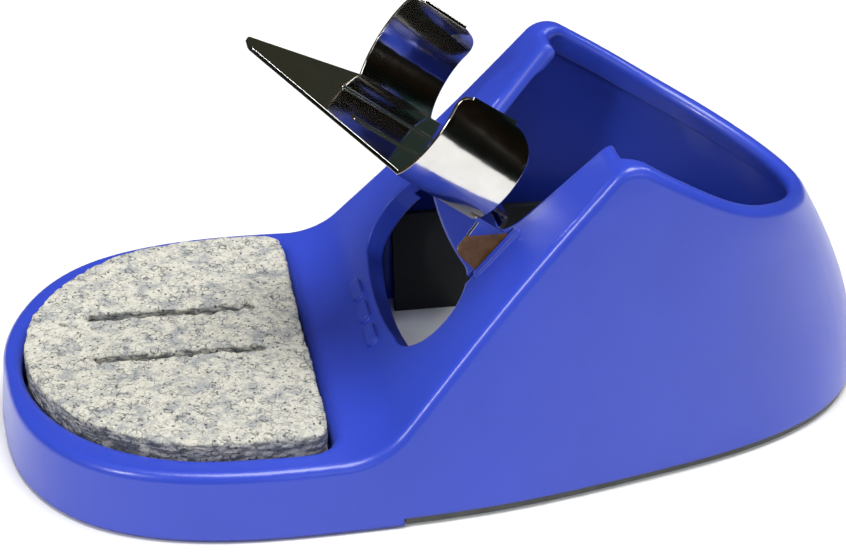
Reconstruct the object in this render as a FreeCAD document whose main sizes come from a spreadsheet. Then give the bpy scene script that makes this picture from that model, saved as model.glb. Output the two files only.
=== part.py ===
import FreeCAD, Part
import math
import os

import Sketcher

V = FreeCAD.Vector

# Soldering iron stand: a moulded housing with a sponge tray in front and an open
# bowl behind, a tilting spring-steel cradle in the notch between them.
# Millimetres. X runs from the tray's nose to the bowl's rear, Z up, and Z = 0 is
# the table. The stand is symmetric about the plane Y = 0.

DIMENSIONS = {
    "housing_front_bottom": 0.6,
    "housing_rear_bottom": 1.6,
    "wall": 2.2,
    "tray_rim_height": 11.3,
    "tray_floor": 3.0,
    "tray_rib_height": 3.0,
    "tray_rear": -22.4,
    "tray_front": -71.0,
    "front_wall_angle": 47.5,
    "front_wall_foot_x": -15.9,
    "front_blend_radius": 13.0,
    "peak_radius": 5.0,
    "rim_start_x": 24.9,
    "rim_start_height": 55.8,
    "rim_middle_x": 45.0,
    "rim_middle_height": 43.9,
    "rim_end_x": 82.0,
    "rim_end_height": 27.5,
    "edge_radius": 1.6,
    "lip_width": 3.6,
    "lip_front_width": 2.9,
    "lip_height": 4.6,
    "lip_inner_radius": 1.4,
    "opening_edge_radius": 2.6,
    "recess_edge_radius": 1.4,
    "recess_corner_radius": 4.0,
    "notch_half_width": 21.0,
    "notch_floor_half_width": 16.5,
    "notch_floor": 36.6,
    "notch_corner_radius": 8.0,
    "window_half_width": 24.7,
    "window_low": 9.6,
    "window_middle": 18.7,
    "window_high": 26.8,
    "window_dip": 25.8,
    "window_bow": 8.3,
    "window_collar_depth": 3.8,
    "window_collar_width": 1.6,
    "window_collar_top": 22.0,
    "slot_inner": 18.95,
    "slot_width": 1.75,
    "slot_low": 25.0,
    "slot_high": 37.5,
    "bar_low": 4.2,
    "bar_width": 2.4,
    "bar_length": 6.0,
    "bar_spacing": 8.4,
    "bar_height": 0.6,
    "guard_width": 1.6,
    "guard_height": 0.5,
    "pivot_x": 10.5,
    "pivot_height": 32.3,
    "pivot_boss_radius": 4.0,
    "pivot_boss_start": 20.7,
    "pivot_boss_end": 29.0,
    "pivot_screw_radius": 1.5,
    "pivot_hole_radius": 1.6,
    "pivot_sleeve_radius": 2.2,
    "pivot_head_radius": 2.7,
    "pivot_head_height": 1.7,
    "pivot_screw_length": 13.4,
    "pivot_washer_radius": 2.9,
    "pivot_washer_thickness": 0.5,
    "cradle_tilt": 36.0,
    "cradle_root_x": -9.4,
    "cradle_root_height": 51.1,
    "sheet_thickness": 0.7,
    "wing_length": 15.2,
    "cradle_length": 20.0,
    "ear_half_width": 20.2,
    "ear_front": 16.5,
    "ear_radius": 3.6,
    "hook_half_width": 9.0,
    "hook_front": 25.0,
    "hook_low": -11.6,
    "tongue_length": 26.0,
    "tongue_tip_half_width": 2.3,
    "rib_radius": 1.3,
    "rib_spacing": 7.0,
    "rib_front": -6.5,
    "rib_length": 21.0,
    "base_front": -12.5,
    "base_bottom": 0.6,
    "base_thickness": 1.0,
    "base_inset": 0.4,
    "foot_radius": 4.0,
    "foot_height": 0.6,
    "foot_stem_length": 1.6,
    "foot_stem_radius": 1.75,
    "base_screw_radius": 1.3,
    "base_screw_head_radius": 2.2,
    "boss_radius": 3.6,
    "liner_bottom_half_width": 26.6,
    "liner_lean": 3.4,
    "liner_height": 18.2,
    "liner_thickness": 1.4,
    "liner_front": -6.0,
    "liner_shoulder": 26.0,
    "liner_rear": 54.0,
    "liner_rear_half_width": 13.0,
    "weight_front": 14.0,
    "weight_rear": 46.0,
    "weight_half_width": 14.5,
    "weight_thickness": 7.0,
    "sponge_bottom": 6.1,
    "sponge_top": 13.8,
    "sponge_clearance": 0.7,
    "slit_length": 29.0,
    "slit_width": 2.4,
    "slit_depth": 2.8,
    "wick_length": 16.0,
    "wick_width": 28.0,
    "wick_thickness": 2.6,
}

# Half outlines of the outer wall at four heights, from the nose to the rear.
OUTLINES = {
    0.0: [(-75, 0), (-72, 20), (-61, 36.5), (-43, 44), (-22, 45),
          (3, 43.3), (28, 37.9), (50, 31), (67, 19.5), (75, 0)],
    22.0: [(-73, 0), (-70, 18.5), (-59.5, 33.8), (-42, 40.3), (-22, 40.7),
           (2, 38.7), (27, 35.8), (48.5, 30), (63.5, 18.2), (70.8, 0)],
    40.0: [(-71.5, 0), (-68.5, 17), (-58.5, 31.5), (-41.5, 37.2), (-22, 37.3),
           (2, 35.4), (26, 34.6), (44.5, 30.6), (56, 18.6), (61.3, 0)],
    60.0: [(-70, 0), (-67, 15.5), (-57, 29), (-41, 34), (-22, 33.8),
           (2, 32), (24, 32.6), (38, 29.6), (46.5, 17), (49.5, 0)],
}

# Half outline of the tray's recess before its rear is cut off square.
RECESS = [(-71, 0), (-70.1, 8.5), (-67, 17.6), (-60.8, 26.8), (-53.4, 32.7), (-45, 36.2),
          (-34, 37.4), (-22, 36.8), (-10, 30), (-4, 0)]

# Places on the plan: (x, y), mirrored in Y except for the weight's screws and the slits.
FEET = {"front": (-53.0, 35.5), "middle": (-8.0, 38.6), "rear": (58.5, 18.8)}
BASE_SCREWS = [(-3.0, 34.0), (52.3, 23.6)]
BASE_POST_HEIGHTS = [18.4, 9.0]
WEIGHT_SCREWS = [(22.0, 0.0), (38.0, 0.0)]
SLITS = [(-59.5, 8.8), (-59.0, -6.2)]
TRAY_CROSS_RIB_X = -46.5

# The cradle's right half section, at its front and at the wings' rear: root, middle, top.
FRONT_SECTION = [(20.6, 0.0), (24.8, 8.1), (22.0, 16.4)]
REAR_SECTION = [(20.2, 0.0), (25.2, 7.5), (20.4, 16.4)]

doc = FreeCAD.newDocument("SolderingIronStand")
sheet = doc.addObject("Spreadsheet::Sheet", "Dimensions")
for row, (alias, number) in enumerate(DIMENSIONS.items(), start=1):
    sheet.set(f"A{row}", alias)
    sheet.set(f"B{row}", str(number))
    sheet.setAlias(f"B{row}", alias)
doc.recompute()

SUBPARTS = []


def size(alias):
    """The number in the sheet's cell of that name."""
    return float(sheet.get(alias))


def cell(alias):
    """An expression that reads the sheet's cell of that name."""
    return f"Dimensions.{alias}"


def subpart(thing, label):
    """Keep an object as a sub-part: its label names its file."""
    thing.Label = label
    SUBPARTS.append(thing)
    return thing


# ---------------------------------------------------------------- building blocks


def new_body(name):
    return doc.addObject("PartDesign::Body", name)


def new_sketch(body, name, role="XY_Plane", height="0"):
    """A sketch on one of the body's origin planes, moved along its normal."""
    sketch = body.newObject("Sketcher::SketchObject", name)
    plane = next(f for f in body.Origin.OriginFeatures if f.Role == role)
    sketch.AttachmentSupport = (plane, [""])
    sketch.MapMode = "FlatFace"
    sketch.setExpression("AttachmentOffset.Base.z", height)
    return sketch


def draw_polygon(sketch, points):
    """Straight lines through the points, closed."""
    for start, end in zip(points, points[1:] + points[:1]):
        sketch.addGeometry(Part.LineSegment(V(*start, 0), V(*end, 0)), False)


def draw_rounded_polygon(sketch, corners):
    """Closed lines through (x, y, radius) corners, each rounded by its radius."""
    count = len(corners)
    joints = []
    for i, (x, y, radius) in enumerate(corners):
        here = V(x, y, 0)
        before = (V(*corners[i - 1][:2], 0) - here).normalize()
        after = (V(*corners[(i + 1) % count][:2], 0) - here).normalize()
        half = before.getAngle(after) / 2
        reach = radius / math.tan(half)
        middle = here + (before + after).normalize() * (radius / math.sin(half) - radius)
        joints.append((here + before * reach, middle, here + after * reach, radius))
    for i, (start, middle, end, radius) in enumerate(joints):
        if radius > 0:
            sketch.addGeometry(Part.Arc(start, middle, end), False)
        sketch.addGeometry(Part.LineSegment(end, joints[(i + 1) % count][0]), False)


def draw_circle(sketch, x, y, radius_alias):
    """A circle whose radius follows the sheet."""
    index = sketch.addGeometry(Part.Circle(V(x, y, 0), V(0, 0, 1), size(radius_alias)), False)
    constraint = sketch.addConstraint(Sketcher.Constraint("Radius", index, size(radius_alias)))
    sketch.setExpression(f"Constraints[{constraint}]", cell(radius_alias))


def inset_points(half, inset):
    """A whole closed outline from its half, moved inwards by inset."""
    whole = [V(x, y, 0) for x, y in half] + [V(x, -y, 0) for x, y in half[-2:0:-1]]
    moved = []
    for i, point in enumerate(whole):
        along = whole[(i + 1) % len(whole)] - whole[i - 1]
        inward = V(along.y, -along.x, 0).normalize()
        moved.append(point + inward * inset)
    return moved


def draw_outline(sketch, half, inset=0.0):
    """The smooth closed outline of the housing at one height."""
    curve = Part.BSplineCurve()
    curve.interpolate(inset_points(half, inset), PeriodicFlag=True)
    sketch.addGeometry(curve, False)


def add_loft(body, name, sketches, kind="PartDesign::AdditiveLoft"):
    loft = body.newObject(kind, name)
    loft.Profile = sketches[0]
    loft.Sections = sketches[1:]
    body.Tip = loft
    return loft


def add_pad(body, name, sketch, length, midplane=False, reverse=False):
    pad = body.newObject("PartDesign::Pad", name)
    pad.Profile = sketch
    pad.setExpression("Length", length)
    pad.Midplane = midplane
    pad.Reversed = reverse
    body.Tip = pad
    return pad


def add_pocket(body, name, sketch, length, midplane=False, reverse=False):
    pocket = body.newObject("PartDesign::Pocket", name)
    pocket.Profile = sketch
    pocket.setExpression("Length", length)
    pocket.Midplane = midplane
    pocket.Reversed = reverse
    body.Tip = pocket
    return pocket


def add_fillet(body, name, base, edges, radius):
    fillet = body.newObject("PartDesign::Fillet", name)
    fillet.Base = (base, edges)
    fillet.setExpression("Radius", radius)
    body.Tip = fillet
    return fillet


def edge_names(shape, wanted):
    """The names of the edges for which wanted(edge) is true."""
    return [f"Edge{i}" for i, edge in enumerate(shape.Edges, start=1) if wanted(edge)]


def middle_of(edge):
    first, last = edge.ParameterRange
    return edge.valueAt((first + last) / 2)


def fused(name, things):
    fuse = doc.addObject("Part::MultiFuse", name)
    fuse.Shapes = things
    return fuse


def cut(name, base, tool):
    result = doc.addObject("Part::Cut", name)
    result.Base = base
    result.Tool = tool
    return result


def cylinder(name, radius, height, position, direction=V(0, 0, 1)):
    """A Part cylinder whose radius and height are expressions."""
    thing = doc.addObject("Part::Cylinder", name)
    thing.setExpression("Radius", radius)
    thing.setExpression("Height", height)
    thing.Placement = FreeCAD.Placement(V(*position), FreeCAD.Rotation(V(0, 0, 1), direction))
    return thing


def box(name, length, width, height, corner):
    thing = doc.addObject("Part::Box", name)
    thing.setExpression("Length", length)
    thing.setExpression("Width", width)
    thing.setExpression("Height", height)
    thing.Placement.Base = V(*corner)
    return thing


# ---------------------------------------------------------------- shared geometry

SLOPE = math.tan(math.radians(size("front_wall_angle")))
ABOVE = 90.0


def front_wall_height(x, depth=0.0):
    """Height of the front wall's outer face, or of a parallel plane depth inside."""
    drop = depth / math.cos(math.radians(size("front_wall_angle")))
    return size("tray_rim_height") + SLOPE * (x - size("front_wall_foot_x")) - drop


def wall_point(along, depth=0.0):
    """(x, z) of a place measured up the front wall from the tray's rim."""
    angle = math.radians(size("front_wall_angle"))
    x = size("front_wall_foot_x") + along * math.cos(angle) + depth * math.sin(angle)
    z = size("tray_rim_height") + along * math.sin(angle) - depth * math.cos(angle)
    return x, z


WALL_TURN = FreeCAD.Rotation(V(0, 1, 0), -size("front_wall_angle"))


def place_on_wall(thing):
    """Stand a body on the front wall: its X climbs the wall and its Z points out."""
    foot = V(size("front_wall_foot_x"), 0, size("tray_rim_height"))
    thing.Placement = FreeCAD.Placement(foot, WALL_TURN)


def outline_loft(body, inset=0.0):
    """The housing's outer form, or the same form inset, from bottom to top."""
    sketches = []
    for level, half in OUTLINES.items():
        sketch = new_sketch(body, f"{body.Name}Outline{int(level)}", "XY_Plane", str(level))
        draw_outline(sketch, half, inset)
        sketches.append(sketch)
    return add_loft(body, f"{body.Name}Loft", sketches)


def profile_corners(lower, forward):
    """Corners of the space above the tray, front wall and rim, moved down and forwards."""
    corners = [
        (-ABOVE, size("tray_rim_height"), 0),
        (size("front_wall_foot_x"), size("tray_rim_height"), size("front_blend_radius")),
        (size("rim_start_x"), size("rim_start_height"), size("peak_radius")),
        (size("rim_middle_x"), size("rim_middle_height"), 90.0),
        (size("rim_end_x"), size("rim_end_height"), 0),
        (size("rim_end_x"), ABOVE, 0),
        (-ABOVE, ABOVE, 0),
    ]
    return [(x - forward, z - lower, radius) for x, z, radius in corners]


def cut_above_profile(body, name, lower=0.0, forward=0.0):
    sketch = new_sketch(body, f"{name}Sketch", "XZ_Plane")
    draw_rounded_polygon(sketch, profile_corners(lower, forward))
    return add_pocket(body, name, sketch, "200", midplane=True)


def cut_in_front(body, name, depth):
    """Cut away what lies before a plane parallel to the front wall, depth inside."""
    low_x, low_z = wall_point(-40.0, depth)
    high_x, high_z = wall_point(90.0, depth)
    sketch = new_sketch(body, f"{name}Sketch", "XZ_Plane")
    draw_polygon(sketch, [(low_x, low_z), (high_x, high_z), (-ABOVE, high_z), (-ABOVE, low_z)])
    return add_pocket(body, name, sketch, "200", midplane=True)


def cut_block(body, name, low, high):
    """Cut away a block given by its low and high (x, z) corners, right across."""
    sketch = new_sketch(body, f"{name}Sketch", "XZ_Plane")
    draw_polygon(sketch, [(low[0], low[1]), (high[0], low[1]), (high[0], high[1]), (low[0], high[1])])
    return add_pocket(body, name, sketch, "200", midplane=True)


# ---------------------------------------------------------------- housing


def housing_form():
    """The outer form: tray, inclined front wall, peaks and sloping rim, edges rounded."""
    body = new_body("HousingForm")
    outline_loft(body)
    cut_above_profile(body, "HousingProfile")
    cut_block(body, "HousingUnderTray", (-ABOVE, -5), (ABOVE, size("housing_front_bottom")))
    step = cut_block(
        body, "HousingUnderBowl", (size("base_front"), -5), (ABOVE, size("housing_rear_bottom"))
    )
    doc.recompute()

    def is_top_edge(edge):
        middle = middle_of(edge)
        along = edge.tangentAt(sum(edge.ParameterRange) / 2)
        return middle.z > size("tray_rim_height") - 0.5 and abs(along.y) < 0.999

    add_fillet(body, "HousingEdges", step, edge_names(step.Shape, is_top_edge), cell("edge_radius"))
    return body


def bowl_core():
    """The hollow of the bowl below its lip, open underneath."""
    body = new_body("BowlCore")
    outline_loft(body, size("wall"))
    angle = math.radians(size("front_wall_angle"))
    lower = size("lip_height")
    forward = (lower * math.cos(angle) - size("wall")) / math.sin(angle)
    cut_above_profile(body, "BowlCoreTop", lower, forward)
    cut_block(body, "BowlCoreFloor", (-ABOVE, -5), (size("base_front") + 2, 2.6))
    return body


def lip_core():
    """The opening inside the lip."""
    body = new_body("LipCore")
    outline_loft(body, size("lip_width"))
    front = cut_in_front(body, "LipCoreFront", size("lip_front_width"))
    doc.recompute()

    def is_corner(edge):
        middle = middle_of(edge)
        on_plane = abs(front_wall_height(middle.x, size("lip_front_width")) - middle.z) < 0.2
        return on_plane and abs(middle.y) > 5 and middle.z < 59

    add_fillet(body, "LipCoreCorners", front, edge_names(front.Shape, is_corner), "3")
    return body


def recess_form(name, low, height, inset):
    """The D shape of the tray's recess, or the same shape inset, as a block."""
    body = new_body(name)
    sketch = new_sketch(body, f"{name}Outline", "XY_Plane", low)
    draw_outline(sketch, RECESS, inset)
    add_pad(body, f"{name}Pad", sketch, height)
    rear_x = size("tray_rear") - inset
    rear = cut_block(body, f"{name}Rear", (rear_x, -5), (ABOVE, 40))
    doc.recompute()

    def is_corner(edge):
        upright = abs(edge.tangentAt(edge.FirstParameter).z) > 0.99
        return upright and middle_of(edge).x > rear_x - 0.1

    corners = edge_names(rear.Shape, is_corner)
    add_fillet(body, f"{name}Corners", rear, corners, f"{cell('recess_corner_radius')} - {inset}")
    return body


def draw_window(sketch, grow=0.0):
    """The window's outline on the front wall: round ends, a bowed foot and a dipped top."""
    low = size("window_low") - grow
    middle = size("window_middle")
    high = size("window_high") + grow
    half = size("window_half_width") + grow
    for side in (-1, 1):
        end = V(middle, side * half, 0)
        for level, radius in ((low, middle - low), (high, high - middle)):
            centre = V(middle, side * (half - radius), 0)
            slant = V(math.copysign(radius, level - middle), side * radius, 0) * math.sqrt(0.5)
            sketch.addGeometry(Part.Arc(end, centre + slant, V(level, centre.y, 0)), False)
    for level, radius, bow in (
        (low, middle - low, size("window_bow") - grow), (high, high - middle, size("window_dip") + grow)
    ):
        corner = half - radius
        sketch.addGeometry(Part.Arc(V(level, corner, 0), V(bow, 0, 0), V(level, -corner, 0)), False)


def window_core():
    """The window below the cradle, and the two slots for the cradle's ears."""
    body = new_body("WindowCore")
    outline = new_sketch(body, "WindowOutline")
    draw_window(outline)
    add_pad(body, "WindowPad", outline, "24", midplane=True)
    slots = new_sketch(body, "SlotOutlines")
    for side in (-1, 1):
        inner = side * size("slot_inner")
        outer = side * (size("slot_inner") + size("slot_width"))
        corners = [(size("slot_low"), inner), (size("slot_high"), inner)]
        corners += [(size("slot_high"), outer), (size("slot_low"), outer)]
        draw_polygon(slots, corners)
    add_pad(body, "SlotPads", slots, "16", midplane=True)
    place_on_wall(body)
    return body


def window_collar():
    """A rim that deepens the window's lower edge inside the wall."""
    body = new_body("WindowCollar")
    sketch = new_sketch(body, "CollarOutline", "XY_Plane", f"-{cell('window_collar_depth')}")
    draw_window(sketch, size("window_collar_width"))
    add_pad(body, "CollarPad", sketch, f"{cell('window_collar_depth')} - 0.5")
    above = new_sketch(body, "CollarTop", "XY_Plane", "1")
    top = size("window_collar_top")
    draw_polygon(above, [(top, -40), (50, -40), (50, 40), (top, 40)])
    add_pocket(body, "CollarTopCut", above, "10")
    place_on_wall(body)
    return body


def slot_guards():
    """A raised ridge beside each slot, on its outer side."""
    body = new_body("SlotGuards")
    sketch = new_sketch(body, "GuardOutlines", "XY_Plane", "-1")
    inner = size("slot_inner") + size("slot_width")
    outer = inner + size("guard_width")
    low = size("slot_low") + 3
    high = size("slot_high") + 1
    for side in (-1, 1):
        corners = [(low, inner), (high, inner), (high, outer), (low, outer)]
        draw_rounded_polygon(sketch, [(x, side * y, 0.7) for x, y in corners])
    add_pad(body, "GuardPads", sketch, f"{cell('guard_height')} + 1")
    place_on_wall(body)
    return body


def notch_core():
    """The U-shaped notch that the cradle lies in."""
    body = new_body("NotchCore")
    angle = math.radians(size("front_wall_angle"))
    floor = (size("notch_floor") - size("tray_rim_height")) / math.sin(angle)
    top = 85.0
    flare = (size("notch_half_width") - size("notch_floor_half_width")) / 22.0
    top_half = size("notch_floor_half_width") + flare * (top - floor)
    low_half = size("notch_floor_half_width")
    radius = size("notch_corner_radius")
    sketch = new_sketch(body, "NotchOutline")
    corners = [(floor, -low_half, radius), (top, -top_half, 0), (top, top_half, 0)]
    corners += [(floor, low_half, radius)]
    draw_rounded_polygon(sketch, corners)
    add_pad(body, "NotchPad", sketch, "26", midplane=True)
    place_on_wall(body)
    return body


def housing_bosses():
    """Posts for the base screws and, in the front wall, for the pivot screws."""
    things = []
    for side in (-1, 1):
        for i, (x, y) in enumerate(BASE_SCREWS):
            corner = (x, side * y, size("housing_rear_bottom"))
            height = str(BASE_POST_HEIGHTS[i])
            things.append(cylinder(f"Post{i}{side + 1}", cell("boss_radius"), height, corner))
        start = (size("pivot_x"), side * size("pivot_boss_start"), size("pivot_height"))
        length = f"{cell('pivot_boss_end')} - {cell('pivot_boss_start')}"
        boss = cylinder(
            f"PivotBoss{side + 1}", cell("pivot_boss_radius"), length, start, V(0, side, 0)
        )
        things.append(boss)
    return things


def housing_holes():
    """Screw holes in the posts and bosses, and the holes of the two front feet."""
    things = []
    for side in (-1, 1):
        for i, (x, y) in enumerate(BASE_SCREWS):
            corner = (x, side * y, size("housing_rear_bottom") - 0.5)
            hole = cylinder(f"PostHole{i}{side + 1}", cell("base_screw_radius"), "8.5", corner)
            things.append(hole)
        start = (size("pivot_x"), side * (size("pivot_boss_start") - 1), size("pivot_height"))
        radius = cell("pivot_sleeve_radius")
        hole = cylinder(f"PivotHole{side + 1}", radius, "12", start, V(0, side, 0))
        things.append(hole)
        x, y = FEET["front"]
        corner = (x, side * y, size("housing_front_bottom") - 0.5)
        things.append(cylinder(f"FootHole{side + 1}", cell("foot_stem_radius"), "2.1", corner))
    return things


def tray_ribs():
    """A cross of ribs that makes four wells in the tray's floor."""
    width = 2.2
    floor = size("tray_floor") - 0.5
    height = f"{cell('tray_rib_height')} + 0.5"
    along = box("RibAlong", "49", str(width), height, (size("tray_front"), -width / 2, floor))
    across = box("RibAcross", str(width), "74", height, (TRAY_CROSS_RIB_X, -37, floor))
    return [along, across]


def raised_bars():
    """Three plain raised bars low on the front wall."""
    low, high = size("bar_low"), size("bar_low") + size("bar_width")
    half = size("bar_length") / 2
    body = new_body("RaisedBars")
    sketch = new_sketch(body, "BarOutlines", "XY_Plane", "-1")
    for y in (-size("bar_spacing"), 0.0, size("bar_spacing")):
        corners = [(low, y - half), (high, y - half), (high, y + half), (low, y + half)]
        draw_rounded_polygon(sketch, [(*corner, 0.9) for corner in corners])
    add_pad(body, "BarPads", sketch, f"1 + {cell('bar_height')}")
    place_on_wall(body)
    return body


def round_openings(hollow, recess, lip):
    """Round the notch's front edges, the tray's recess and the lip's inner edge."""
    doc.recompute()
    edges = []
    for i, edge in enumerate(hollow.Shape.Edges, start=1):
        middle = middle_of(edge)
        below_face = front_wall_height(middle.x) - middle.z
        at_notch = abs(below_face) < 1.5 and 5 < middle.x < 26 and abs(middle.y) < 22
        level = abs(middle.z - size("tray_rim_height")) < 0.05
        on_rim = middle.x > 26 and middle.z > size("tray_rim_height") + 5
        if at_notch and middle.z > size("notch_floor") - 0.5:
            edges.append((i, size("opening_edge_radius"), size("opening_edge_radius")))
        elif level and recess.Shape.distToShape(Part.Vertex(middle))[0] < 0.01:
            edges.append((i, size("recess_edge_radius"), size("recess_edge_radius")))
        elif on_rim and lip.Shape.distToShape(Part.Vertex(middle))[0] < 0.01:
            edges.append((i, size("lip_inner_radius"), size("lip_inner_radius")))
    rounded = doc.addObject("Part::Fillet", "HousingRounded")
    rounded.Base = hollow
    rounded.Edges = edges
    return rounded


def housing():
    recess = recess_form("TrayCore", cell("tray_floor"), "20", 0.0)
    lip = lip_core()
    openings = fused("HousingOpenings", [lip, recess, notch_core()])
    rounded = round_openings(cut("HousingOpened", housing_form(), openings), recess, lip)
    hollow = cut("HousingHollow", rounded, bowl_core())
    details = [raised_bars(), window_collar(), slot_guards()]
    solid = fused("HousingSolid", [hollow, *housing_bosses(), *tray_ribs(), *details])
    holes = fused("HousingHoles", [window_core(), *housing_holes()])
    return subpart(cut("Housing", solid, holes), "housing")


# ---------------------------------------------------------------- base


def countersunk(body, name, sketch, depth, points):
    """Screw holes through the plate, widened below for countersunk heads."""
    for x, y in points:
        draw_circle(sketch, x, y, "base_screw_radius")
    pocket = add_pocket(body, name, sketch, depth, reverse=True)
    doc.recompute()

    def is_low_rim(edge):
        middle = middle_of(edge)
        near = any(math.hypot(middle.x - x, middle.y - y) < 2.0 for x, y in points)
        return near and middle.z < size("base_bottom") + 0.05

    chamfer = body.newObject("PartDesign::Chamfer", f"{name}Countersinks")
    chamfer.Base = (pocket, edge_names(pocket.Shape, is_low_rim))
    chamfer.setExpression(
        "Size", f"{cell('base_screw_head_radius')} - {cell('base_screw_radius')}"
    )
    body.Tip = chamfer


def both_sides(places):
    return [(x, side * y) for x, y in places for side in (-1, 1)]


def base_plate():
    body = new_body("BasePlate")
    sketch = new_sketch(body, "PlateOutline", "XY_Plane", cell("base_bottom"))
    draw_outline(sketch, OUTLINES[0.0], size("base_inset"))
    add_pad(body, "Plate", sketch, cell("base_thickness"))
    cut_block(body, "PlateFront", (-ABOVE, -5), (size("base_front") + 0.2, 10))
    feet = new_sketch(body, "FootHoles", "XY_Plane", cell("base_bottom"))
    for x, y in both_sides([FEET["middle"], FEET["rear"]]):
        draw_circle(feet, x, y, "foot_stem_radius")
    add_pocket(body, "FootHolesCut", feet, cell("base_thickness"), reverse=True)
    screws = new_sketch(body, "ScrewHoles", "XY_Plane", cell("base_bottom"))
    points = both_sides(BASE_SCREWS) + WEIGHT_SCREWS
    countersunk(body, "ScrewHolesCut", screws, cell("base_thickness"), points)
    return subpart(body, "base_plate")


def countersunk_screw(name, x, y, length):
    """A countersunk screw pointing up, its head flush with the base plate's underside."""
    cone = doc.addObject("Part::Cone", f"{name}Head")
    cone.setExpression("Radius1", cell("base_screw_head_radius"))
    cone.setExpression("Radius2", cell("base_screw_radius"))
    cone.setExpression("Height", f"{cell('base_screw_head_radius')} - {cell('base_screw_radius')}")
    cone.Placement.Base = V(x, y, size("base_bottom"))
    shank = cylinder(f"{name}Shank", cell("base_screw_radius"), length, (x, y, size("base_bottom")))
    slots = []
    for turn in (0, 90):
        slot = box(f"{name}Slot{turn}", "2.4", "0.6", "0.6", (0, 0, 0))
        centre = V(x, y, size("base_bottom") - 0.1)
        rotation = FreeCAD.Rotation(V(0, 0, 1), turn)
        slot.Placement = FreeCAD.Placement(centre - rotation.multVec(V(1.2, 0.3, 0)), rotation)
        slots.append(slot)
    return cut(name, fused(f"{name}Solid", [cone, shank]), fused(f"{name}Cross", slots))


def screw_group(label, name, points, length):
    screws = [
        countersunk_screw(f"{name}{i}", x, y, length) for i, (x, y) in enumerate(points)
    ]
    return subpart(fused(name, screws), label)


def foot(name, label, x, y):
    """A push-in rubber foot: a disc below and a stem above."""
    disc = cylinder(f"{name}Disc", cell("foot_radius"), cell("foot_height"), (x, y, 0))
    stem = cylinder(
        f"{name}Stem", cell("foot_stem_radius"), cell("foot_stem_length"),
        (x, y, size("foot_height")),
    )
    return subpart(fused(name, [disc, stem]), label)


def feet():
    for place, (x, y) in FEET.items():
        for side, hand in ((-1, "right"), (1, "left")):
            foot(f"Foot{place.title()}{hand.title()}", f"foot_{place}_{hand}", x, side * y)


def liner_corners(spread):
    """Corners of the liner's plan, spread outwards."""
    front = size("liner_front")
    shoulder = size("liner_shoulder")
    half = size("liner_bottom_half_width") + spread
    rear = size("liner_rear") + spread
    rear_half = size("liner_rear_half_width") + spread
    right = [(front, -half, 2.0), (shoulder, -half, 12.0), (rear, -rear_half, 8.0)]
    return right + [(x, -y, radius) for x, y, radius in reversed(right)]


def inner_liner():
    """A black wall standing on the base plate round the space below the window."""
    body = new_body("InnerLiner")
    low = size("housing_rear_bottom")
    high = low + size("liner_height")
    outside = []
    inside = []
    for place, height, spread in (("Low", low, 0.0), ("High", high, size("liner_lean"))):
        sketch = new_sketch(body, f"LinerOutside{place}", "XY_Plane", str(height))
        draw_rounded_polygon(sketch, liner_corners(spread))
        outside.append(sketch)
        sketch = new_sketch(body, f"LinerInside{place}", "XY_Plane", str(height))
        corners = liner_corners(spread - size("liner_thickness"))
        front = size("liner_front") + size("liner_thickness")
        draw_rounded_polygon(sketch, [(max(x, front), y, radius) for x, y, radius in corners])
        inside.append(sketch)
    add_loft(body, "LinerOutside", outside)
    add_loft(body, "LinerInside", inside, "PartDesign::SubtractiveLoft")
    depth = size("window_collar_depth") + 0.6
    low_x, low_z = wall_point(-40.0, depth)
    high_x, high_z = wall_point(60.0, depth)
    sketch = new_sketch(body, "LinerTopSketch", "XZ_Plane")
    draw_polygon(sketch, [(low_x, low_z), (high_x, high_z), (-ABOVE, high_z), (-ABOVE, low_z)])
    add_pocket(body, "LinerTop", sketch, "200", midplane=True)
    cut_block(body, "LinerMouth", (-ABOVE, -5), (size("liner_front") + 3, 40))
    return subpart(body, "inner_liner")


def weight_block():
    body = new_body("WeightBlock")
    sketch = new_sketch(body, "WeightOutline", "XY_Plane", cell("housing_rear_bottom"))
    half = size("weight_half_width")
    front = size("weight_front")
    rear = size("weight_rear")
    draw_rounded_polygon(
        sketch, [(front, -half, 3), (rear, -half, 5), (rear, half, 5), (front, half, 3)]
    )
    for x, y in WEIGHT_SCREWS:
        draw_circle(sketch, x, y, "base_screw_radius")
    pad = add_pad(body, "WeightPad", sketch, cell("weight_thickness"))
    doc.recompute()
    top = size("housing_rear_bottom") + size("weight_thickness")

    def is_top_edge(edge):
        return abs(middle_of(edge).z - top) < 0.01 and edge.Length > 9

    add_fillet(body, "WeightEdges", pad, edge_names(pad.Shape, is_top_edge), "0.8")
    return subpart(body, "weight_block")


# ---------------------------------------------------------------- cradle


def cradle_placement():
    """The cradle's own frame: X down the trough to the rear, Z square to its floor."""
    root = V(size("cradle_root_x"), 0, size("cradle_root_height"))
    return FreeCAD.Placement(root, FreeCAD.Rotation(V(0, 1, 0), size("cradle_tilt")))


def in_cradle(x, y, z):
    """The place in the cradle's frame of a point of the stand's frame."""
    return cradle_placement().inverse().multVec(V(x, y, z))


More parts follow.
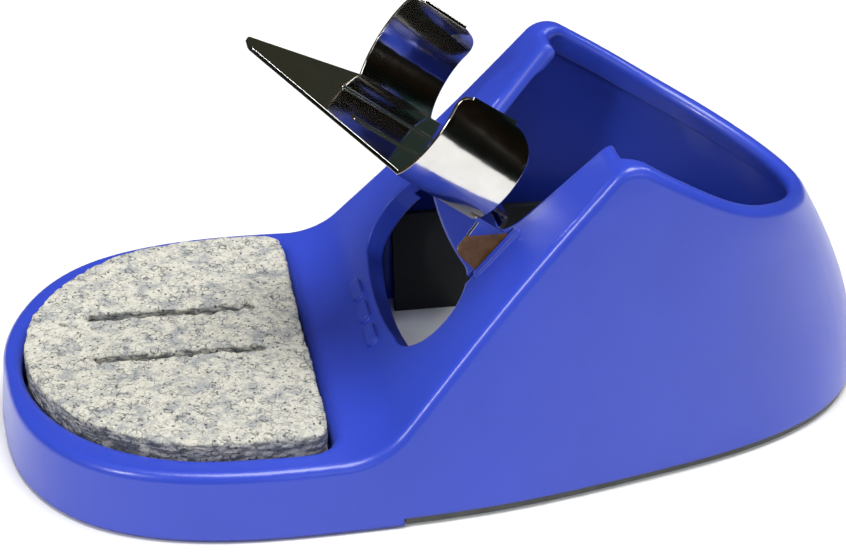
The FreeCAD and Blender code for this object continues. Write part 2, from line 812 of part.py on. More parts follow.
def trough_section(sketch, root, middle, top):
    """A thin section: flat floor and two curved wings, given right-hand (y, z) points."""
    circle = Part.Arc(V(*root, 0), V(*middle, 0), V(*top, 0)).toShape().Curve
    centre = circle.Center
    thickness = size("sheet_thickness")

    def outward(point):
        ray = V(*point, 0) - centre
        return centre + ray.normalize() * (circle.Radius + thickness)

    inner = [V(*point, 0) for point in (root, middle, top)]
    outer = [outward(point) for point in (root, middle, top)]
    drop = centre.y + thickness
    outer[0] = V(centre.x + math.sqrt((circle.Radius + thickness) ** 2 - drop**2), -thickness, 0)

    def mirrored(point):
        return V(-point.x, point.y, 0)

    left_inner = [mirrored(point) for point in inner]
    left_outer = [mirrored(point) for point in outer]
    sketch.addGeometry(Part.LineSegment(left_inner[0], inner[0]), False)
    sketch.addGeometry(Part.Arc(*inner), False)
    sketch.addGeometry(Part.LineSegment(inner[2], outer[2]), False)
    sketch.addGeometry(Part.Arc(outer[2], outer[1], outer[0]), False)
    sketch.addGeometry(Part.LineSegment(outer[0], left_outer[0]), False)
    sketch.addGeometry(Part.Arc(*left_outer), False)
    sketch.addGeometry(Part.LineSegment(left_outer[2], left_inner[2]), False)
    sketch.addGeometry(Part.Arc(left_inner[2], left_inner[1], left_inner[0]), False)


def draw_corner_waste(sketch, x, y, radius, outward):
    """What is cut off an upper corner at (x, y) to round it; outward is -1 or 1 along X."""
    inner_x = x - outward * radius
    far_x = x + outward * 2
    slant = radius * math.sqrt(0.5)
    start = V(x, y - radius, 0)
    middle = V(inner_x + outward * slant, y - radius + slant, 0)
    end = V(inner_x, y, 0)
    path = [end, V(inner_x, y + 3, 0), V(far_x, y + 3, 0), V(far_x, y - radius, 0), start]
    sketch.addGeometry(Part.Arc(start, middle, end), False)
    for a, b in zip(path, path[1:]):
        sketch.addGeometry(Part.LineSegment(a, b), False)


def cradle():
    """One piece of spring steel: a trough with two wings, a tongue, two ribs and two ears."""
    body = new_body("Cradle")
    front = new_sketch(body, "TroughFront", "YZ_Plane", "0")
    trough_section(front, *FRONT_SECTION)
    rear = new_sketch(body, "TroughRear", "YZ_Plane", cell("wing_length"))
    trough_section(rear, *REAR_SECTION)
    add_loft(body, "Trough", [front, rear])
    top = FRONT_SECTION[-1][1]
    corners = new_sketch(body, "WingCorners", "XZ_Plane")
    draw_corner_waste(corners, 0.0, top, 2.2, -1)
    draw_corner_waste(corners, size("wing_length"), top, 4.4, 1)
    add_pocket(body, "WingCornersCut", corners, "60", midplane=True)
    floor = new_sketch(body, "FloorOutline")
    half = FRONT_SECTION[0][0]
    tip = size("tongue_tip_half_width")
    tongue = -size("tongue_length")
    rear_half = size("ear_half_width")
    rear_x = size("cradle_length")
    corners = [(0.2, half, 0), (tongue, tip, 1.6), (tongue, -tip, 1.6), (0.2, -half, 0)]
    corners += [(rear_x, -rear_half, 0), (rear_x, rear_half, 0)]
    draw_rounded_polygon(floor, corners)
    add_pad(body, "Floor", floor, cell("sheet_thickness"), reverse=True)
    ribs = new_sketch(body, "RibSections", "YZ_Plane", cell("rib_front"))
    radius = size("rib_radius")
    for y in (-size("rib_spacing"), size("rib_spacing")):
        low = -size("sheet_thickness") / 2
        ribs.addGeometry(Part.Arc(V(y - radius, low, 0), V(y, 0.35, 0), V(y + radius, low, 0)), False)
        ribs.addGeometry(Part.LineSegment(V(y + radius, low, 0), V(y - radius, low, 0)), False)
    add_pad(body, "Ribs", ribs, cell("rib_length"))
    add_ears(body)
    add_hook(body)
    body.Placement = cradle_placement()
    return subpart(body, "cradle")


def add_ears(body):
    """The floor's two sides bent down and carried back to the pivot screws."""
    pivot = in_cradle(size("pivot_x"), 0, size("pivot_height"))
    front = size("ear_front")
    rear = size("cradle_length")
    radius = size("ear_radius")
    tail = pivot.x + radius
    outline = new_sketch(body, "EarOutline", "XZ_Plane")
    corners = [
        (front, 0, 0),
        (rear, 0, 0),
        (tail, pivot.z + radius * 0.9, radius * 0.9),
        (tail, pivot.z - radius, radius),
        (rear + 1, pivot.z - radius * 1.2, 2.0),
        (front, -6.9, 1.2),
    ]
    draw_rounded_polygon(outline, corners)
    add_pad(body, "Ears", outline, f"2 * {cell('ear_half_width')}", midplane=True)
    below = -size("sheet_thickness")
    between = new_sketch(body, "BetweenEars", "XZ_Plane")
    waste = [(5, below), (rear, below), (rear, 3), (40, 3), (40, -30), (5, -30)]
    draw_polygon(between, waste)
    width = f"2 * ({cell('ear_half_width')} - {cell('sheet_thickness')})"
    add_pocket(body, "BetweenEarsCut", between, width, midplane=True)
    hole = new_sketch(body, "PivotHoles", "XZ_Plane")
    draw_circle(hole, pivot.x, pivot.z, "pivot_hole_radius")
    add_pocket(body, "PivotHolesCut", hole, "60", midplane=True)


def add_hook(body):
    """The floor's middle carried back over the notch and bent down behind the wall."""
    half = size("hook_half_width")
    front = size("hook_front")
    thickness = size("sheet_thickness")
    rear = front + thickness
    strip = new_sketch(body, "HookSection", "XZ_Plane")
    start = size("cradle_length") - 1
    low = size("hook_low")
    corners = [
        (start, 0, 0),
        (rear, 0, 1.5),
        (rear, low, 0),
        (front, low, 0),
        (front, -thickness, 1.5 - thickness),
        (start, -thickness, 0),
    ]
    draw_rounded_polygon(strip, corners)
    add_pad(body, "Hook", strip, f"2 * {cell('hook_half_width')}", midplane=True)
    waste = new_sketch(body, "HookCorners", "YZ_Plane", cell("hook_front") + " - 1")
    for side in (-1, 1):
        edge = side * half
        draw_polygon(waste, [(edge, low - 1), (edge, low + 4), (edge - side * 4, low - 1)])
    add_pocket(body, "HookCornersCut", waste, "4", reverse=True)


def ring(name, radius, bore, thickness, place, out):
    """A flat ring or a tube on the pivot line."""
    disc = cylinder(f"{name}Disc", radius, thickness, place, out)
    hole = cylinder(f"{name}Bore", bore, f"{thickness} + 2", V(*place) - out, out)
    return cut(name, disc, hole)


def pivot_parts():
    """On each side a screw, a washer, a split spring washer, a sleeve and a nut."""
    screws = []
    washers = []
    springs = []
    sleeves = []
    nuts = []
    ear_outside = size("ear_half_width")
    ear_inside = ear_outside - size("sheet_thickness")
    head_seat = ear_inside - size("pivot_washer_thickness") - 0.1
    head_start = head_seat - size("pivot_head_height")
    washer_radius = cell("pivot_washer_radius")
    bore_radius = cell("pivot_hole_radius")
    for side, hand in ((-1, "Right"), (1, "Left")):
        out = V(0, side, 0)

        def place(y):
            return (size("pivot_x"), side * y, size("pivot_height"))

        head = cylinder(
            f"ScrewHead{hand}", cell("pivot_head_radius"), cell("pivot_head_height"),
            place(head_start), out,
        )
        shank = cylinder(
            f"ScrewShank{hand}", cell("pivot_screw_radius"), cell("pivot_screw_length"),
            place(head_seat), out,
        )
        slot = box(f"ScrewSlot{hand}", "6", "1.4", "0.8", (0, 0, 0))
        slot.Placement.Base = V(*place(head_start)) - V(3, 0.7, 0.4)
        screws.append(cut(f"PivotScrew{hand}", fused(f"ScrewSolid{hand}", [head, shank]), slot))
        washers.append(ring(
            f"Washer{hand}", washer_radius, bore_radius, cell("pivot_washer_thickness"),
            place(head_seat + 0.05), out,
        ))
        spring = ring(
            f"SpringRing{hand}", washer_radius, bore_radius, "0.4", place(ear_outside + 0.05), out
        )
        gap = box(f"SpringGap{hand}", "0.5", "2", "4", (0, 0, 0))
        gap.Placement.Base = V(*place(ear_outside + 0.25)) - V(0.25, 1, 0)
        springs.append(cut(f"SpringWasher{hand}", spring, gap))
        length = f"({cell('pivot_boss_end')} - {cell('pivot_boss_start')})"
        sleeves.append(ring(
            f"Sleeve{hand}", cell("pivot_sleeve_radius"), bore_radius, length,
            place(size("pivot_boss_start")), out,
        ))
        nut = doc.addObject("Part::Prism", f"NutBlank{hand}")
        nut.Polygon = 6
        nut.setExpression("Circumradius", washer_radius)
        nut.setExpression("Height", "2.0")
        turn = FreeCAD.Rotation(V(0, 0, 1), out)
        nut.Placement = FreeCAD.Placement(V(*place(size("pivot_boss_end"))), turn)
        start = place(size("pivot_boss_end") - 1)
        bore = cylinder(f"NutBore{hand}", cell("pivot_screw_radius"), "4", start, out)
        nuts.append(cut(f"Nut{hand}", nut, bore))
    for label, group in (
        ("pivot_screws", screws), ("pivot_washers", washers), ("pivot_spring_washers", springs),
        ("pivot_sleeves", sleeves), ("pivot_nuts", nuts),
    ):
        subpart(fused(label.title().replace("_", ""), group), label)


# ---------------------------------------------------------------- sponges


def sponge():
    """The D-shaped cellulose sponge, with two slits in its top."""
    thickness = f"{cell('sponge_top')} - {cell('sponge_bottom')}"
    body = recess_form("Sponge", cell("sponge_bottom"), thickness, size("sponge_clearance"))
    slits = new_sketch(body, "SpongeSlits", "XY_Plane", cell("sponge_top"))
    half = size("slit_width") / 2
    for x, y in SLITS:
        end = x + size("slit_length")
        draw_polygon(slits, [(x, y - half), (end, y - half), (end, y + half), (x, y + half)])
    add_pocket(body, "SpongeSlitsCut", slits, cell("slit_depth"))
    return subpart(body, "sponge")


def wick_sponge():
    """A small sponge in one of the wells, under the large one."""
    block = box(
        "WickSponge", cell("wick_length"), cell("wick_width"), cell("wick_thickness"),
        (-42.0, 3.5, size("tray_floor") + 0.1),
    )
    return subpart(block, "wick_sponge")


def write_subparts():
    doc.recompute()
    for thing in doc.Objects:
        if {"Invalid", "Error"} & set(thing.State):
            raise SystemExit(f"{thing.Name} failed: {thing.State}")
    for thing in SUBPARTS:
        if thing.Shape.isNull() or not thing.Shape.isValid():
            raise SystemExit(f"{thing.Label} has no valid shape")
    os.makedirs("parts", exist_ok=True)
    for thing in SUBPARTS:
        thing.Shape.exportStep(f"parts/{thing.Label}.step")
        solids = len(thing.Shape.Solids)
        print(f"{thing.Label}: {solids} solid(s), {thing.Shape.Volume / 1000:.2f} cm3")


housing()
base_plate()
screw_group("base_screws", "BaseScrew", both_sides(BASE_SCREWS), "8")
inner_liner()
weight_block()
screw_group("weight_screws", "WeightScrew", WEIGHT_SCREWS, "6")
feet()
cradle()
pivot_parts()
sponge()
wick_sponge()
write_subparts()
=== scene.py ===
import bmesh
import bpy
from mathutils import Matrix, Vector, noise


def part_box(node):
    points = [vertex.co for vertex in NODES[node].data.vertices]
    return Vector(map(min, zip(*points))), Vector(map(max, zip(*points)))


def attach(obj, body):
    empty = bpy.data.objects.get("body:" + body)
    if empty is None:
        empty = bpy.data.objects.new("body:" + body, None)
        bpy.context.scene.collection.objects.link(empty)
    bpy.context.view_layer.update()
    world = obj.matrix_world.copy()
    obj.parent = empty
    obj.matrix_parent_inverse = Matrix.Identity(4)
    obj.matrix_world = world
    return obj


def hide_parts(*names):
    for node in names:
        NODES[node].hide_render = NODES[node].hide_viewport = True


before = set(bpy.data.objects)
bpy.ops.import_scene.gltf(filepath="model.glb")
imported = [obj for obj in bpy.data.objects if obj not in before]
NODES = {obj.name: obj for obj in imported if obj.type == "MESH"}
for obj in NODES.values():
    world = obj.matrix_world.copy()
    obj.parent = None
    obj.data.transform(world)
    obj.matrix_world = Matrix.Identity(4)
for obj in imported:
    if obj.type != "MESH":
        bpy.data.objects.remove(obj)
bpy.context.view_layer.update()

MM = 0.001

# The cradle's ears, where a brown reflection is painted into the steel's colour, in millimetres: outside
# this distance from the middle, below this height.
EAR_INNER_Y = 19.2
EAR_TOP_Z = 38.5

# The sponge's two slits, in millimetres: their lines, their span in X, and the torn edge.
SLIT_LINES = (8.8, -6.2)
SLIT_SPAN = (-62.0, -30.0)
SLIT_LOW_Z = 10.0
TORN_REACH = 3.0


# ---------------------------------------------------------------- material helpers


class Paint:
    """A Principled material and short calls that add nodes to it."""

    def __init__(self, name, **sockets):
        self.material = bpy.data.materials.new(name)
        self.material.use_nodes = True
        self.tree = self.material.node_tree
        self.shader = self.tree.nodes["Principled BSDF"]
        for key, value in sockets.items():
            self.shader.inputs[key.replace("_", " ")].default_value = value
        self.place = self.node("ShaderNodeTexCoord").outputs["Object"]

    def node(self, kind, **settings):
        made = self.tree.nodes.new(kind)
        for key, value in settings.items():
            setattr(made, key, value)
        return made

    def link(self, source, target):
        self.tree.links.new(source, target)

    def stretched(self, scale):
        """Object coordinates scaled along each axis."""
        mapping = self.node("ShaderNodeMapping")
        mapping.inputs["Scale"].default_value = scale
        self.link(self.place, mapping.inputs["Vector"])
        return mapping.outputs["Vector"]

    def noise(self, size_mm, detail=3.0, roughness=0.55, place=None):
        """Noise whose features are about size_mm across."""
        made = self.node("ShaderNodeTexNoise")
        made.inputs["Scale"].default_value = 1.0 / (size_mm * MM)
        made.inputs["Detail"].default_value = detail
        made.inputs["Roughness"].default_value = roughness
        self.link(place or self.place, made.inputs["Vector"])
        return made.outputs["Fac"]

    def cells(self, size_mm, feature="F1", output="Distance", place=None):
        """Voronoi cells about size_mm across."""
        made = self.node("ShaderNodeTexVoronoi", feature=feature)
        made.inputs["Scale"].default_value = 1.0 / (size_mm * MM)
        self.link(place or self.place, made.inputs["Vector"])
        return made.outputs[output]

    def ramp(self, source, *stops, mode="LINEAR"):
        """A colour ramp with (place, colour) stops; a number stands for a grey."""
        made = self.node("ShaderNodeValToRGB")
        made.color_ramp.interpolation = mode
        elements = made.color_ramp.elements
        while len(elements) < len(stops):
            elements.new(0.5)
        for element, (place, colour) in zip(elements, stops):
            if isinstance(colour, (int, float)):
                colour = (colour, colour, colour)
            element.position = place
            element.color = (*colour, 1.0)
        self.link(source, made.inputs["Fac"])
        return made.outputs["Color"]

    def mix(self, factor, first, second, blend="MIX"):
        """Mix two colours, each a socket or an (r, g, b)."""
        made = self.node("ShaderNodeMix", data_type="RGBA", blend_type=blend)
        for socket, value in ((0, factor), (6, first), (7, second)):
            if isinstance(value, (int, float)):
                made.inputs[socket].default_value = value
            elif isinstance(value, tuple):
                made.inputs[socket].default_value = (*value, 1.0)
            else:
                self.link(value, made.inputs[socket])
        return made.outputs[2]

    def math(self, operation, first, second=0.0):
        made = self.node("ShaderNodeMath", operation=operation)
        for socket, value in enumerate((first, second)):
            if isinstance(value, (int, float)):
                made.inputs[socket].default_value = value
            else:
                self.link(value, made.inputs[socket])
        return made.outputs[0]

    def span(self, source, low, high):
        """Map 0..1 to low..high."""
        made = self.node("ShaderNodeMapRange")
        made.inputs["To Min"].default_value = low
        made.inputs["To Max"].default_value = high
        self.link(source, made.inputs["Value"])
        return made.outputs["Result"]

    def bump(self, height, distance_mm, strength=1.0, normal=None):
        made = self.node("ShaderNodeBump")
        made.inputs["Strength"].default_value = strength
        made.inputs["Distance"].default_value = distance_mm * MM
        self.link(height, made.inputs["Height"])
        if normal is not None:
            self.link(normal, made.inputs["Normal"])
        return made.outputs["Normal"]

    def upright(self):
        """How far a face looks up or down: 1 on flat faces, 0 on vertical ones."""
        surface = self.node("ShaderNodeNewGeometry")
        parts = self.node("ShaderNodeSeparateXYZ")
        self.link(surface.outputs["Normal"], parts.inputs["Vector"])
        return self.math("ABSOLUTE", parts.outputs["Z"])

    def bevel(self, radius_mm):
        made = self.node("ShaderNodeBevel", samples=8)
        made.inputs["Radius"].default_value = radius_mm * MM
        return made.outputs["Normal"]

    def set(self, socket, source):
        self.link(source, self.shader.inputs[socket])


# ---------------------------------------------------------------- materials


def moulded_blue():
    """Fine-grained blue plastic with a soft sheen."""
    paint = Paint("moulded_blue_plastic", Roughness=0.34, IOR=1.5, Coat_Weight=0.35, Coat_Roughness=0.17)
    cloud = paint.noise(24.0, detail=4.0)
    base = paint.ramp(cloud, (0.3, (0.024, 0.056, 0.50)), (0.7, (0.029, 0.064, 0.55)))
    speck = paint.ramp(paint.cells(0.9), (0.0, 0.0), (0.10, 0.0), (0.16, 1.0))
    paint.set("Base Color", paint.mix(speck, (0.037, 0.071, 0.55), base))
    paint.set("Roughness", paint.span(paint.noise(9.0, detail=5.0), 0.29, 0.40))
    grain = paint.noise(0.28, detail=2.0)
    flow = paint.noise(30.0, detail=1.0)
    soft = paint.bevel(0.7)
    paint.set("Normal", paint.bump(grain, 0.012, 0.5, paint.bump(flow, 0.10, 0.35, soft)))
    return paint.material


def polished_steel():
    """Bright rolled spring steel, with a brown reflection painted onto the two ears."""
    paint = Paint("polished_spring_steel", Metallic=1.0, Roughness=0.09)
    cloud = paint.noise(7.0, detail=4.0)
    base = paint.ramp(cloud, (0.3, (0.62, 0.60, 0.56)), (0.7, (0.72, 0.71, 0.68)))
    parts = paint.node("ShaderNodeSeparateXYZ")
    paint.link(paint.place, parts.inputs["Vector"])
    across = paint.math("ABSOLUTE", parts.outputs["Y"])
    outer = paint.math("GREATER_THAN", across, EAR_INNER_Y * MM)
    low = paint.math("LESS_THAN", parts.outputs["Z"], EAR_TOP_Z * MM)
    ear = paint.math("MULTIPLY", outer, low)
    # Painted reflection: the ears get a mottled brown, less metallic colour that stands in for the brown
    # room they reflect.
    blotch = paint.noise(1.6, detail=5.0)
    painted_reflection_brown = paint.ramp(blotch, (0.3, (0.17, 0.085, 0.022)), (0.7, (0.26, 0.14, 0.045)))
    paint.set("Base Color", paint.mix(ear, base, painted_reflection_brown))
    paint.set("Metallic", paint.span(ear, 1.0, 0.25))
    paint.set("Roughness", paint.span(paint.noise(2.5, detail=5.0), 0.06, 0.15))
    rolled = paint.noise(0.45, detail=2.0, place=paint.stretched((0.08, 1.0, 0.08)))
    pit = paint.ramp(paint.cells(1.3), (0.0, 0.0), (0.05, 0.0), (0.09, 1.0))
    height = paint.mix(0.7, rolled, pit)
    paint.set("Normal", paint.bump(height, 0.006, 0.16, paint.bevel(0.18)))
    return paint.material


def zinc_plate():
    """Bright spangled sheet on its flat faces, with shade painted dark onto its cut edge."""
    paint = Paint("zinc_plated_sheet", Metallic=0.1, Roughness=0.42)
    spangle = paint.cells(5.0, output="Color")
    base = paint.mix(0.05, (0.90, 0.93, 0.97), spangle)
    stain = paint.ramp(paint.noise(14.0, detail=6.0), (0.35, 0.92), (0.7, 1.0))
    base = paint.mix(1.0, base, stain, "MULTIPLY")
    # Painted shade: the upright cut edge sits in shadow between housing and floor, so it is coloured
    # near-black.
    edge = paint.ramp(paint.upright(), (0.3, 1.0), (0.6, 0.0))
    edge_shade_noise = paint.noise(3.0, detail=5.0)
    painted_edge_shade = paint.ramp(edge_shade_noise, (0.3, (0.030, 0.032, 0.028)), (0.7, (0.065, 0.068, 0.058)))
    paint.set("Base Color", paint.mix(edge, base, painted_edge_shade))
    paint.set("Roughness", paint.span(paint.noise(3.0, detail=5.0), 0.32, 0.52))
    rolled = paint.noise(0.35, detail=2.0, place=paint.stretched((0.06, 1.0, 1.0)))
    paint.set("Normal", paint.bump(rolled, 0.012, 0.4))
    return paint.material


def machine_screw():
    paint = Paint("nickel_plated_screw", Metallic=1.0, Roughness=0.3)
    cloud = paint.noise(1.5, detail=4.0)
    paint.set("Base Color", paint.ramp(cloud, (0.3, (0.50, 0.49, 0.46)), (0.7, (0.64, 0.63, 0.61))))
    paint.set("Roughness", paint.span(paint.noise(0.6, detail=4.0), 0.22, 0.42))
    paint.set("Normal", paint.bump(paint.noise(0.15, detail=2.0), 0.01, 0.4, paint.bevel(0.15)))
    return paint.material


def turned_brass():
    paint = Paint("turned_brass", Metallic=1.0, Roughness=0.28)
    cloud = paint.noise(1.8, detail=4.0)
    paint.set("Base Color", paint.ramp(cloud, (0.3, (0.66, 0.47, 0.20)), (0.7, (0.78, 0.60, 0.30))))
    rings = paint.noise(0.2, detail=1.0, place=paint.stretched((0.02, 1.0, 0.02)))
    paint.set("Roughness", paint.span(paint.noise(0.8, detail=4.0), 0.2, 0.4))
    paint.set("Normal", paint.bump(rings, 0.01, 0.5))
    return paint.material


def black_plastic():
    paint = Paint("black_inner_plastic", Roughness=0.6, IOR=1.5)
    cloud = paint.noise(12.0, detail=4.0)
    base = paint.ramp(cloud, (0.3, (0.008, 0.009, 0.010)), (0.7, (0.016, 0.017, 0.018)))
    paint.set("Base Color", base)
    paint.set("Roughness", paint.span(paint.noise(2.0, detail=4.0), 0.5, 0.72))
    paint.set("Normal", paint.bump(paint.noise(0.35, detail=3.0), 0.02, 0.5, paint.bevel(0.3)))
    return paint.material


def cast_weight():
    paint = Paint("cast_iron_weight", Metallic=0.7, Roughness=0.62)
    cloud = paint.noise(5.0, detail=6.0)
    base = paint.ramp(cloud, (0.3, (0.10, 0.10, 0.105)), (0.7, (0.19, 0.185, 0.18)))
    rust = paint.ramp(paint.noise(9.0, detail=7.0), (0.60, 0.0), (0.74, 0.35))
    paint.set("Base Color", paint.mix(rust, base, (0.16, 0.075, 0.035)))
    paint.set("Roughness", paint.span(paint.noise(1.2, detail=5.0), 0.5, 0.8))
    sand = paint.noise(0.45, detail=4.0)
    paint.set("Normal", paint.bump(sand, 0.07, 0.7, paint.bevel(0.3)))
    return paint.material


def foot_rubber():
    paint = Paint("foot_rubber", Roughness=0.75, IOR=1.5)
    cloud = paint.noise(2.5, detail=5.0)
    base = paint.ramp(cloud, (0.3, (0.016, 0.017, 0.016)), (0.7, (0.035, 0.036, 0.033)))
    paint.set("Base Color", base)
    dust = paint.ramp(paint.noise(0.8, detail=6.0), (0.55, 0.6), (0.75, 0.9))
    paint.set("Roughness", dust)
    paint.set("Normal", paint.bump(paint.noise(0.25, detail=3.0), 0.03, 0.6, paint.bevel(0.25)))
    return paint.material


def cellulose(name, light, middle, shade, pit):
    """Open-pored cellulose: pale crumb walls round grey cells, with shade painted dark into the pits,
    and painted shade with denser fibre streaks on the cut sides.
    """
    paint = Paint(name, Roughness=0.92, IOR=1.4)
    crumb = paint.noise(1.0, detail=8.0, roughness=0.75)
    base = paint.ramp(crumb, (0.38, middle), (0.50, light), (0.72, light))
    patch = paint.noise(3.6, detail=6.0, roughness=0.7)
    base = paint.mix(paint.ramp(patch, (0.48, 0.0), (0.60, 0.7)), base, shade)
    # Painted shade: the pit colour darkens cell rings, webs, fine specks and holes, where the pores lie
    # in shadow.
    cell = paint.cells(2.6)
    ring = paint.ramp(cell, (0.20, 0.0), (0.27, 0.75), (0.33, 0.0))
    broken = paint.ramp(paint.noise(2.2, detail=3.0), (0.46, 0.0), (0.54, 1.0))
    base = paint.mix(paint.mix(1.0, ring, broken, "MULTIPLY"), base, pit)
    webs = paint.cells(1.5, feature="DISTANCE_TO_EDGE")
    web = paint.mix(1.0, paint.ramp(webs, (0.0, 0.75), (0.07, 0.0)), broken, "MULTIPLY")
    base = paint.mix(web, base, pit)
    fine = paint.ramp(paint.noise(0.42, detail=3.0, roughness=0.7), (0.58, 0.0), (0.68, 0.85))
    base = paint.mix(fine, base, pit)
    hole = paint.ramp(paint.cells(1.25), (0.0, 0.95), (0.14, 0.8), (0.21, 0.0))
    base = paint.mix(hole, base, pit)
    # Painted shade with real fibre streaks: upright cut sides are darkened in streaks, partly for their
    # denser fibres and partly for the shade they sit in.
    side_shade_and_fibre = paint.ramp(paint.upright(), (0.25, 1.0), (0.65, 0.0))
    layers = paint.noise(0.9, detail=5.0, place=paint.stretched((0.35, 0.35, 1.6)))
    streak = paint.ramp(layers, (0.42, 0.85), (0.56, 0.15))
    base = paint.mix(paint.mix(1.0, side_shade_and_fibre, streak, "MULTIPLY"), base, pit)
    paint.set("Base Color", base)
    height = paint.mix(0.5, crumb, paint.noise(0.5, detail=4.0, roughness=0.7))
    dent = paint.bump(ring, 0.25, 0.7, paint.bump(hole, 0.3, 0.8))
    paint.set("Normal", paint.bump(height, 0.5, 0.85, dent))
    return paint.material


def give(material, *nodes):
    for node in nodes:
        data = NODES[node].data
        data.materials.clear()
        data.materials.append(material)


give(moulded_blue(), "housing")
give(polished_steel(), "cradle")
give(zinc_plate(), "base_plate")
give(black_plastic(), "inner_liner")
give(cast_weight(), "weight_block")
give(turned_brass(), "pivot_sleeves")
give(
    machine_screw(), "base_screws", "weight_screws", "pivot_screws", "pivot_washers",
    "pivot_spring_washers", "pivot_nuts",
)
give(foot_rubber(), *(f"foot_{p}_{h}" for p in ("front", "middle", "rear") for h in ("left", "right")))


# ---------------------------------------------------------------- sponges


def remeshed_copy(node, name, voxel_mm, smoothing):
    """A new object with an even mesh in the shape of a CAD node."""
    source = NODES[node].data
    obj = bpy.data.objects.new(name, source.copy())
    bpy.context.scene.collection.objects.link(obj)
    remesh = obj.modifiers.new("Even", "REMESH")
    remesh.mode = "VOXEL"
    remesh.voxel_size = voxel_mm * MM
    smooth = obj.modifiers.new("Soft", "SMOOTH")
    smooth.factor = 0.5
    smooth.iterations = smoothing
    graph = bpy.context.evaluated_depsgraph_get()
    mesh = bpy.data.meshes.new_from_object(obj.evaluated_get(graph))
    obj.modifiers.clear()
    obj.data = mesh
    mesh.polygons.foreach_set("use_smooth", [True] * len(mesh.polygons))
    return obj


def pore_depth(point, spacing, radius, depth):
    """Depth of round pores of mixed sizes scattered through space."""
    distances, centres = noise.voronoi(point / spacing)
    chance = noise.cell(centres[0] * 7.3)
    reach = radius * (0.35 + 0.65 * chance) / spacing
    if distances[0] >= reach:
        return 0.0
    inside = 1.0 - (distances[0] / reach) ** 2
    return depth * inside * (0.4 + 0.6 * chance)


def torn(point):
    """1 beside the sponge's slits, falling to 0 a few millimetres away."""
    if not SLIT_SPAN[0] < point.x < SLIT_SPAN[1] or point.z < SLIT_LOW_Z:
        return 0.0
    reach = min(abs(point.y - line) for line in SLIT_LINES)
    return max(0.0, 1.0 - reach / TORN_REACH)


def roughen(obj, swell, low_z):
    """Crumbly surface: broad lumps, crumbs and pores, growing weaker towards the underside."""
    mesh = obj.data
    normals = [vertex.normal.copy() for vertex in mesh.vertices]
    for vertex, normal in zip(mesh.vertices, normals):
        p = vertex.co / MM
        lumps = noise.fractal(p / 7.0, 1.0, 2.0, 3) * 0.35
        crumbs = noise.fractal(p / 1.5 + Vector((9, 4, 2)), 0.9, 2.0, 3) * 0.20
        pits = pore_depth(p, 5.2, 1.7, 0.8) + pore_depth(p + Vector((31, 17, 5)), 2.4, 0.8, 0.5)
        above = min(1.0, max(0.15, (p.z - low_z) / 2.0))
        crumbs *= 1.0 + 1.5 * torn(p)
        vertex.co += normal * ((lumps + crumbs - pits) * above + swell) * MM


def top_sponge():
    obj = remeshed_copy("sponge", "sponge_body", 0.42, 3)
    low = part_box("sponge")[0][2] / MM
    roughen(obj, 0.1, low)
    obj.data.materials.clear()
    # The last colour is painted shade for the pores and cut sides.
    obj.data.materials.append(cellulose(
        "cellulose_sponge", (0.70, 0.68, 0.59), (0.48, 0.46, 0.40),
        (0.30, 0.325, 0.35), (0.075, 0.09, 0.105),
    ))
    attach(obj, "sponge")
    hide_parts("sponge")


def under_sponge():
    obj = remeshed_copy("wick_sponge", "wick_sponge_body", 0.42, 2)
    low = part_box("wick_sponge")[0][2] / MM
    roughen(obj, -0.15, low)
    obj.data.materials.clear()
    # The last colour is painted shade for the pores and cut sides.
    obj.data.materials.append(cellulose(
        "cellulose_wick", (0.64, 0.58, 0.42), (0.50, 0.44, 0.30),
        (0.42, 0.38, 0.27), (0.15, 0.12, 0.07),
    ))
    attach(obj, "wick")
    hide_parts("wick_sponge")


top_sponge()
under_sponge()


# ---------------------------------------------------------------- studio


def stage_mesh(name, build):
    mesh = bpy.data.meshes.new(name)
    shape = bmesh.new()
    build(shape)
    shape.to_mesh(mesh)
    shape.free()
    obj = bpy.data.objects.new(name, mesh)
    bpy.context.scene.collection.objects.link(obj)
    return obj


def pale_floor():
    """A near sheet that shows in reflections, and a far one that does not."""
    paint = Paint("pale_floor", Roughness=0.65)
    paint.set("Base Color", paint.ramp(paint.noise(90.0, detail=3.0), (0.3, 0.88), (0.7, 0.91)))
    paint.set("Normal", paint.bump(paint.noise(0.8, detail=2.0), 0.01, 0.2))
    for name, size, height in (("floor", 0.24, 0.0), ("far_floor", 6.0, -0.0005)):
        def build(shape):
            bmesh.ops.create_grid(shape, x_segments=1, y_segments=1, size=size)

        obj = stage_mesh(name, build)
        obj.location.z = height
        obj.visible_glossy = name == "floor"
        obj.data.materials.append(paint.material)


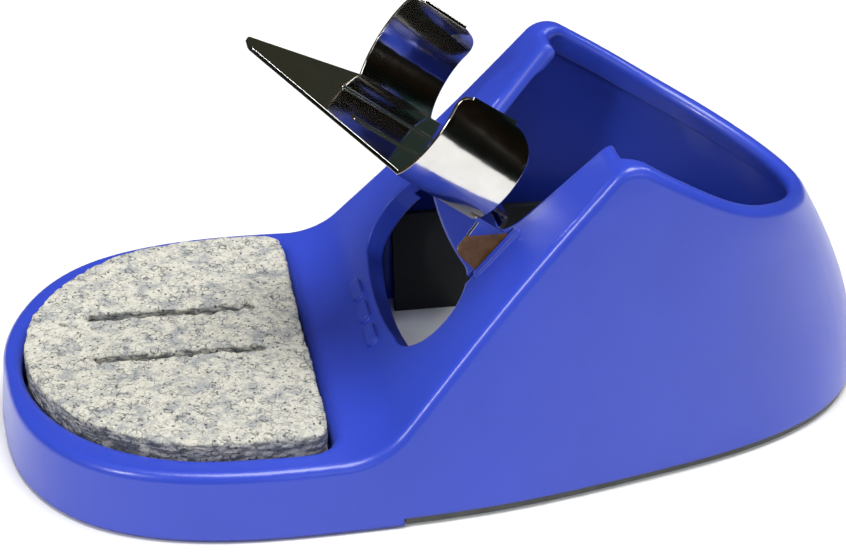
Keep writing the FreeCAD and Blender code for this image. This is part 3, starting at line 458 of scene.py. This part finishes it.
def dark_room():
    """A dark surround that only reflections see, like a studio's unlit walls."""
    def build(shape):
        bmesh.ops.create_icosphere(shape, subdivisions=3, radius=4.0)

    obj = stage_mesh("unlit_room", build)
    obj.visible_camera = False
    obj.visible_diffuse = False
    obj.visible_shadow = False
    obj.visible_transmission = False
    paint = Paint("unlit_room")
    walls = paint.ramp(
        paint.noise(2600.0, detail=2.0), (0.42, (0.013, 0.034, 0.032)), (0.60, (0.066, 0.041, 0.017))
    )
    parts = paint.node("ShaderNodeSeparateXYZ")
    paint.link(paint.place, parts.inputs["Vector"])
    behind = paint.math("ADD", paint.math("MULTIPLY", parts.outputs["Y"], 0.125), 0.5)
    lit = paint.ramp(behind, (0.45, 0.10), (0.62, 1.0))
    glow = paint.node("ShaderNodeEmission")
    paint.link(paint.mix(1.0, walls, lit, "MULTIPLY"), glow.inputs["Color"])
    paint.link(glow.outputs["Emission"], paint.tree.nodes["Material Output"].inputs["Surface"])
    obj.data.materials.append(paint.material)


def area_light(name, place, target, size, power, colour=(1.0, 1.0, 1.0)):
    data = bpy.data.lights.new(name, "AREA")
    data.shape = "RECTANGLE"
    data.size, data.size_y = size
    data.energy = power
    data.color = colour
    obj = bpy.data.objects.new(name, data)
    obj.location = place
    obj.rotation_euler = (Vector(target) - Vector(place)).to_track_quat("-Z", "Y").to_euler()
    bpy.context.scene.collection.objects.link(obj)


def studio():
    pale_floor()
    dark_room()
    area_light("overhead_softbox", (0.05, -0.05, 1.0), (0.0, 0.0, 0.0), (0.5, 0.5), 8.0)
    area_light("left_strip", (-0.75, -0.45, 0.65), (0.0, 0.0, 0.03), (0.10, 0.3), 3.6)
    area_light("right_strip", (0.62, 0.15, 0.80), (0.0, 0.0, 0.03), (0.15, 0.4), 2.0)
    area_light("front_fill", (0.4, -1.1, 0.6), (0.0, 0.0, 0.03), (0.8, 0.5), 1.6)
    world = bpy.data.worlds.new("pale_room")
    world.use_nodes = True
    background = world.node_tree.nodes["Background"]
    background.inputs["Color"].default_value = (1.0, 1.0, 1.0, 1.0)
    background.inputs["Strength"].default_value = 0.34
    bpy.context.scene.world = world
    bpy.context.scene.view_settings.view_transform = "Standard"


def camera():
    data = bpy.data.cameras.new("photo_camera")
    data.sensor_width = 36.0
    data.lens = 94.45
    data.clip_end = 20.0
    obj = bpy.data.objects.new("photo_camera", data)
    obj.location = Vector((-59.02, -335.28, 194.79)) * MM
    target = Vector((-2.0, 0.0, 21.5)) * MM
    obj.rotation_euler = (target - obj.location).to_track_quat("-Z", "Y").to_euler()
    bpy.context.scene.collection.objects.link(obj)
    bpy.context.scene.camera = obj


studio()
camera()
